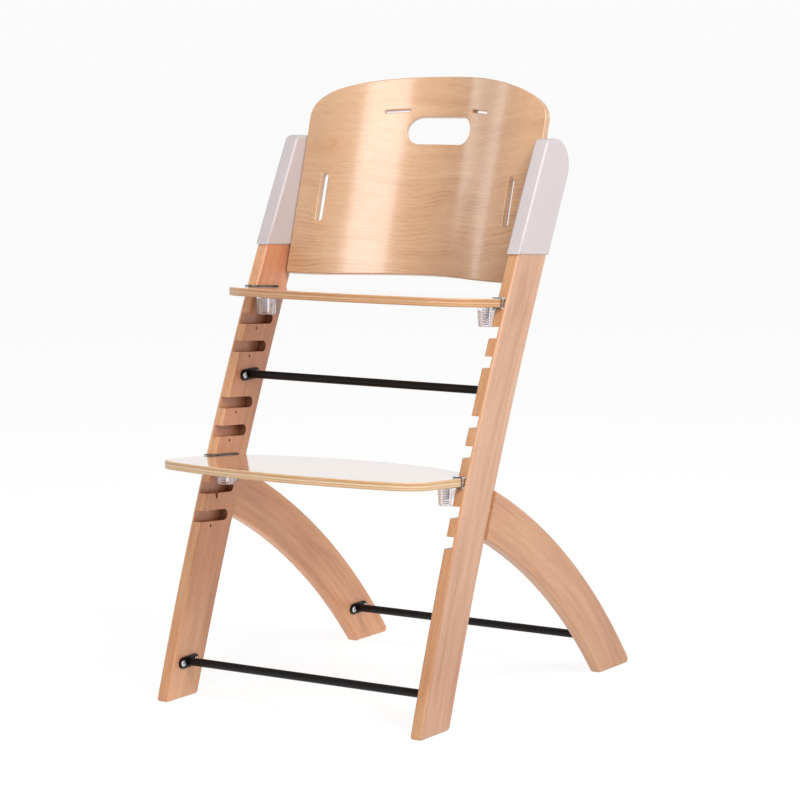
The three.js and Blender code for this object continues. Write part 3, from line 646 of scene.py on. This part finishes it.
def flat_sheet():
    """The backrest cut out flat, with rounded edges, as mesh data: X across, Y up, Z through."""
    curve = bpy.data.curves.new("backrest_cut", "CURVE")
    curve.dimensions = "2D"
    curve.fill_mode = "BOTH"
    loops = [back_outline(), obround(*HANDLE)]
    for cx, cz, w, h, tilt in (TOP_SLOT, SIDE_SLOT):
        loops += [obround(cx, cz, w, h, 8, -tilt), obround(-cx, cz, w, h, 8, tilt)]
    for loop in loops:
        spline = curve.splines.new("POLY")
        spline.points.add(len(loop) - 1)
        for point, (px, pz) in zip(spline.points, loop):
            point.co = (px, pz, 0, 1)
        spline.use_cyclic_u = True
    curve.extrude = BACK_T / 2 - BACK_ROUND
    curve.bevel_depth = BACK_ROUND
    curve.bevel_resolution = 3
    curve.offset = -BACK_ROUND
    holder = bpy.data.objects.new("backrest_cut", curve)
    bpy.context.scene.collection.objects.link(holder)
    graph = bpy.context.evaluated_depsgraph_get()
    mesh = bpy.data.meshes.new_from_object(holder.evaluated_get(graph))
    bpy.data.objects.remove(holder)
    return mesh


def on_face(v):
    """Whether a point of the standing sheet lies on its front or back face."""
    depth = v.co.y - back_front(v.co.x, v.co.z)
    return abs(abs(depth - BACK_T / 2) - BACK_T / 2) < 3e-6


def build_backrest():
    """The flat sheet cut into narrow strips, then leaned and hollowed."""
    mesh = flat_sheet()
    work = bmesh.new()
    work.from_mesh(mesh)
    bmesh.ops.remove_doubles(work, verts=work.verts, dist=2e-6)
    cuts = 72
    for i in range(cuts + 1):
        at = -BELL_HALF + 2 * BELL_HALF * i / cuts
        bmesh.ops.bisect_plane(work, geom=work.verts[:] + work.edges[:] + work.faces[:],
                               plane_co=(at, 0, 0), plane_no=(1, 0, 0), dist=1e-7)
    bmesh.ops.recalc_face_normals(work, faces=work.faces)
    work.normal_update()
    normals = []
    for v in work.verts:
        if abs(v.co.z) > BACK_T / 2 - 2e-6:
            n = Vector((0, math.copysign(1, -v.co.z), 0))
        else:
            n = Vector((v.normal.x, -v.normal.z, v.normal.y))
        # flat sheet (across, up, through) to standing sheet, its edges and holes square to it
        deep, slope = BACK_T / 2 - v.co.z, back_slope(v.co.x)
        inward = 1 / (1 + slope ** 2 + LEAN ** 2)
        n_deep = n.y + inward * (slope * n.x + LEAN * n.z)
        bent = Vector((n.x - slope * n_deep, n_deep, n.z - LEAN * n_deep))
        normals.append(bent.normalized())
        x, z = v.co.x - slope * inward * deep, v.co.y - LEAN * inward * deep
        v.co = Vector((x, back_front(x, z) + deep, z))
    # the faces' veneer, or the cut edge's plies
    for face in work.faces:
        face.smooth = True
        face.material_index = 0 if all(on_face(v) for v in face.verts) else 1
    work.to_mesh(mesh)
    work.free()
    mesh.materials.clear()
    mesh.materials.append(VENEER)
    mesh.materials.append(BACK_EDGE)
    obj = bpy.data.objects.new("backrest_ply", mesh)
    bpy.context.scene.collection.objects.link(obj)
    mesh.normals_split_custom_set_from_vertices(normals)
    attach(obj, "frame")
    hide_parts("backrest")


build_backrest()


# ---------------------------------------------------------------- screws
HEAD_HEIGHT = 0.0026
# radius and depth in mm, from under the head round its dome, then down the hexagonal socket
HEAD_PROFILE = [(2.0, 0.25), (4.7, 0.0), (4.8, -0.15), (4.8, -0.6), (4.6, -1.15), (4.15, -1.7),
                (3.4, -2.2), (2.6, -2.5)]
SOCKET_PROFILE = [(1.85, -2.58), (1.75, -2.45), (1.7, -1.0)]


def build_screw(name, centre, side):
    """Pan-head screw with a hexagonal socket; side is 1 on the right, where its head faces -X."""
    around = 48

    def ring(radius, depth, six_sided):
        points = []
        for i in range(around):
            a = 2 * PI * i / around
            r = radius
            if six_sided:
                r = radius / math.cos((a % (PI / 3)) - PI / 6)
            points.append((centre.x + side * depth, centre.y + r * math.cos(a), centre.z + r * math.sin(a)))
        return points

    rings = [ring(r * MM, d * MM, False) for r, d in HEAD_PROFILE]
    rings += [ring(r * MM, d * MM, True) for r, d in SOCKET_PROFILE]
    verts, faces = stack_rings(rings)
    obj = make(name, verts, faces, [SCREW])
    outward(obj)
    sharp = obj.modifiers.new("sharp", "EDGE_SPLIT")
    sharp.split_angle = math.radians(40)
    return obj


def build_flange_screws():
    """Two screws at each end of each crossbar."""
    for bar in ("front", "middle", "rear"):
        for side, sign in (("right", 1), ("left", -1)):
            for i in (1, 2):
                node = f"{bar}_bar_screw_{side}_{i}"
                low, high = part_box(node)
                centre = (low + high) / 2
                centre.x = (low.x + HEAD_HEIGHT) if sign > 0 else (high.x - HEAD_HEIGHT)
                obj = build_screw(f"{node}_head", centre, sign)
                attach(obj, "frame")
                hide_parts(node)


build_flange_screws()


# ---------------------------------------------------------------- clamping knobs
# all in mm; heights are measured up from the knob's top face
KNOB_TOP_R = 14.9
KNOB_LOW_R = 12.4
KNOB_DEPTH = 26.0
KNOB_ABOVE_STUD = 3.4       # from the stud's middle up to the knob's top face
RIBS = 7
RIBS_TOP = -1.4
RIBS_LOW = -24.6
RIB_DEPTH = 1.0
PLAIN_INSET = 0.15
KNOB_AROUND = 96
QUARTER = KNOB_AROUND // 4  # one ribbed panel and one plain one
# radius and height: the collar and shoulder, then the lower rim, the hollow and the hub
KNOB_SHOULDER = [(8.5, 1.9), (8.5, 0.1), (13.6, 0.0), (14.4, -0.35)]
KNOB_INSIDE = [
    (12.2, -25.4), (11.6, -26.0), (10.6, -26.0), (10.2, -25.4), (11.3, -3.2), (10.8, -2.4), (6.6, -2.2),
    (6.2, -3.0), (5.8, -21.0), (5.2, -21.6), (3.9, -21.6), (3.4, -21.0), (3.3, 1.4), (3.6, 1.9)]


def wall_radius(i, z, groove):
    """The outer wall's radius at step i round the knob; groove goes from 0 on a rib to 1."""
    radius = KNOB_TOP_R + (KNOB_LOW_R - KNOB_TOP_R) * min(1.0, max(0.0, -z / KNOB_DEPTH))
    sector = (i % QUARTER) / QUARTER
    if sector >= 0.5:
        return radius - PLAIN_INSET
    fade = min(1.0, min(sector, 0.5 - sector) / 0.04)
    return radius - RIB_DEPTH * groove * fade


def knob_levels():
    """Radius, height and how far down a groove for each ring; no radius on the ribbed wall."""
    levels = [(r, z, 0) for r, z in KNOB_SHOULDER]
    steps = RIBS * 6
    for k in range(steps + 1):
        z = RIBS_TOP + (RIBS_LOW - RIBS_TOP) * k / steps
        levels.append((None, z, math.sin(PI * RIBS * k / steps) ** 2))
    return levels + [(r, z, 0) for r, z in KNOB_INSIDE]


def build_knob(stem, side):
    """Hollow clear knob: eight panels, every other one ribbed across, with a hub round the stud."""
    stud = middle(f"{stem}_stud_{side}")
    levels = knob_levels()
    rings = []
    for radius, z, groove in levels:
        ring = []
        for i in range(KNOB_AROUND):
            a = 2 * PI * i / KNOB_AROUND
            r = wall_radius(i, z, groove) if radius is None else radius
            dy, dz = tilted(r * math.sin(a), z + KNOB_ABOVE_STUD)
            ring.append((stud.x + r * math.cos(a) * MM, stud.y + dy * MM, stud.z + dz * MM))
        rings.append(ring)
    verts, faces = stack_rings(rings + [rings[0]], capped=False)
    # faces deep in the rib grooves get the darker clear plastic as painted shade
    in_groove = [groove > 0.55 for _, _, groove in levels]
    marks = []
    for k in range(len(levels)):
        deep = in_groove[k] or in_groove[(k + 1) % len(levels)]
        marks += [int(deep and 1 <= i % QUARTER < QUARTER / 2 - 1) for i in range(KNOB_AROUND)]
    obj = make(f"{stem}_knob_{side}_ribbed", verts, faces, [KNOB, KNOB_GROOVE_SHADE], marks)
    outward(obj)
    sharp = obj.modifiers.new("sharp", "EDGE_SPLIT")
    sharp.split_angle = math.radians(38)
    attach(obj, f"{stem}_knob_{side}")
    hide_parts(f"{stem}_knob_{side}")


for stem in ("seat", "footrest"):
    for side in ("right", "left"):
        build_knob(stem, side)


# ---------------------------------------------------------------- stage, light, camera
FLOOR_REACH = 40
LIT_CENTRE = (0, 0, 0.55)   # the lights aim here
CAMERA_FROM_TOE = (2.27884, -3.16446, 0.95016)
CAMERA_YAW = 33.315
CAMERA_PITCH = 7.275
CAMERA_ROLL = -0.489
CAMERA_LENS = 127.863


def build_floor():
    """Pale floor that glows, so that shadows on it stay faint."""
    g = Graph("pale_floor", Roughness=0.9, Base_Color=(0.2, 0.2, 0.2, 1), Specular_IOR_Level=0.0,
              Emission_Color=(1, 1, 1, 1), Emission_Strength=0.86)
    verts = [(-FLOOR_REACH, -FLOOR_REACH, 0), (FLOOR_REACH, -FLOOR_REACH, 0),
             (FLOOR_REACH, 1.5 * FLOOR_REACH, 0), (-FLOOR_REACH, 1.5 * FLOOR_REACH, 0)]
    floor = make("floor", verts, [(0, 1, 2, 3)], [g.material], smooth=False)


def build_world():
    """White near the horizon, like a lit backdrop, and dimmer overhead."""
    world = bpy.data.worlds.new("studio")
    world.use_nodes = True
    tree = world.node_tree
    direction = tree.nodes.new("ShaderNodeTexCoord")
    split = tree.nodes.new("ShaderNodeSeparateXYZ")
    ramp = tree.nodes.new("ShaderNodeValToRGB")
    tree.links.new(direction.outputs["Generated"], split.inputs[0])
    tree.links.new(split.outputs[2], ramp.inputs[0])
    tree.links.new(ramp.outputs[0], tree.nodes["Background"].inputs[0])
    stops = ramp.color_ramp.elements
    stops[0].position, stops[1].position = 0.17, 0.32
    stops[0].color = (0.965, 0.965, 0.965, 1)
    stops[1].color = (0.46, 0.46, 0.46, 1)
    bpy.context.scene.world = world


def softbox(name, azimuth, elevation, distance, width, height, radiance):
    """Rectangular light; azimuth 0 is in front of the chair, 90 on its +X side."""
    light = bpy.data.lights.new(name, "AREA")
    light.shape = "RECTANGLE"
    light.size, light.size_y = width, height
    light.energy = radiance * PI * width * height
    obj = bpy.data.objects.new(name, light)
    a, e = math.radians(azimuth), math.radians(elevation)
    way = Vector((math.sin(a) * math.cos(e), -math.cos(a) * math.cos(e), math.sin(e)))
    obj.location = Vector(LIT_CENTRE) + way * distance
    obj.rotation_mode = "QUATERNION"
    obj.rotation_quaternion = (-way).to_track_quat("-Z", "Y")
    bpy.context.scene.collection.objects.link(obj)


def build_camera():
    """Long lens from the chair's front right, a little above its top."""
    data = bpy.data.cameras.new("camera")
    data.sensor_width = 36
    data.lens = CAMERA_LENS
    data.clip_start, data.clip_end = 0.1, 200
    data.dof.use_dof = False
    cam = bpy.data.objects.new("camera", data)
    yaw, pitch, roll = (math.radians(v) for v in (CAMERA_YAW, CAMERA_PITCH, CAMERA_ROLL))
    ahead = Vector((-math.sin(yaw) * math.cos(pitch), math.cos(yaw) * math.cos(pitch), -math.sin(pitch)))
    right = Vector((math.cos(yaw), math.sin(yaw), 0))
    up = right.cross(ahead)
    across = math.cos(roll) * right + math.sin(roll) * up
    above = -math.sin(roll) * right + math.cos(roll) * up
    turn = Matrix((across, above, -ahead)).transposed().to_4x4()
    cam.matrix_world = Matrix.Translation(Vector(CAMERA_FROM_TOE) + Vector((0, TOE_Y, 0))) @ turn
    bpy.context.scene.collection.objects.link(cam)
    bpy.context.scene.camera = cam


build_floor()
build_world()
softbox("key_box", 68, 40, 2.6, 1.25, 1.25, 11.4)
softbox("sheen_box", 13, 27, 2.6, 0.44, 1.2, 8.2)
softbox("left_strip", -82, 15, 2.2, 0.3, 1.4, 2.5)
softbox("top_box", 0, 88, 2.6, 1.6, 1.6, 0.7)
build_camera()
bpy.context.scene.view_settings.view_transform = "Standard"
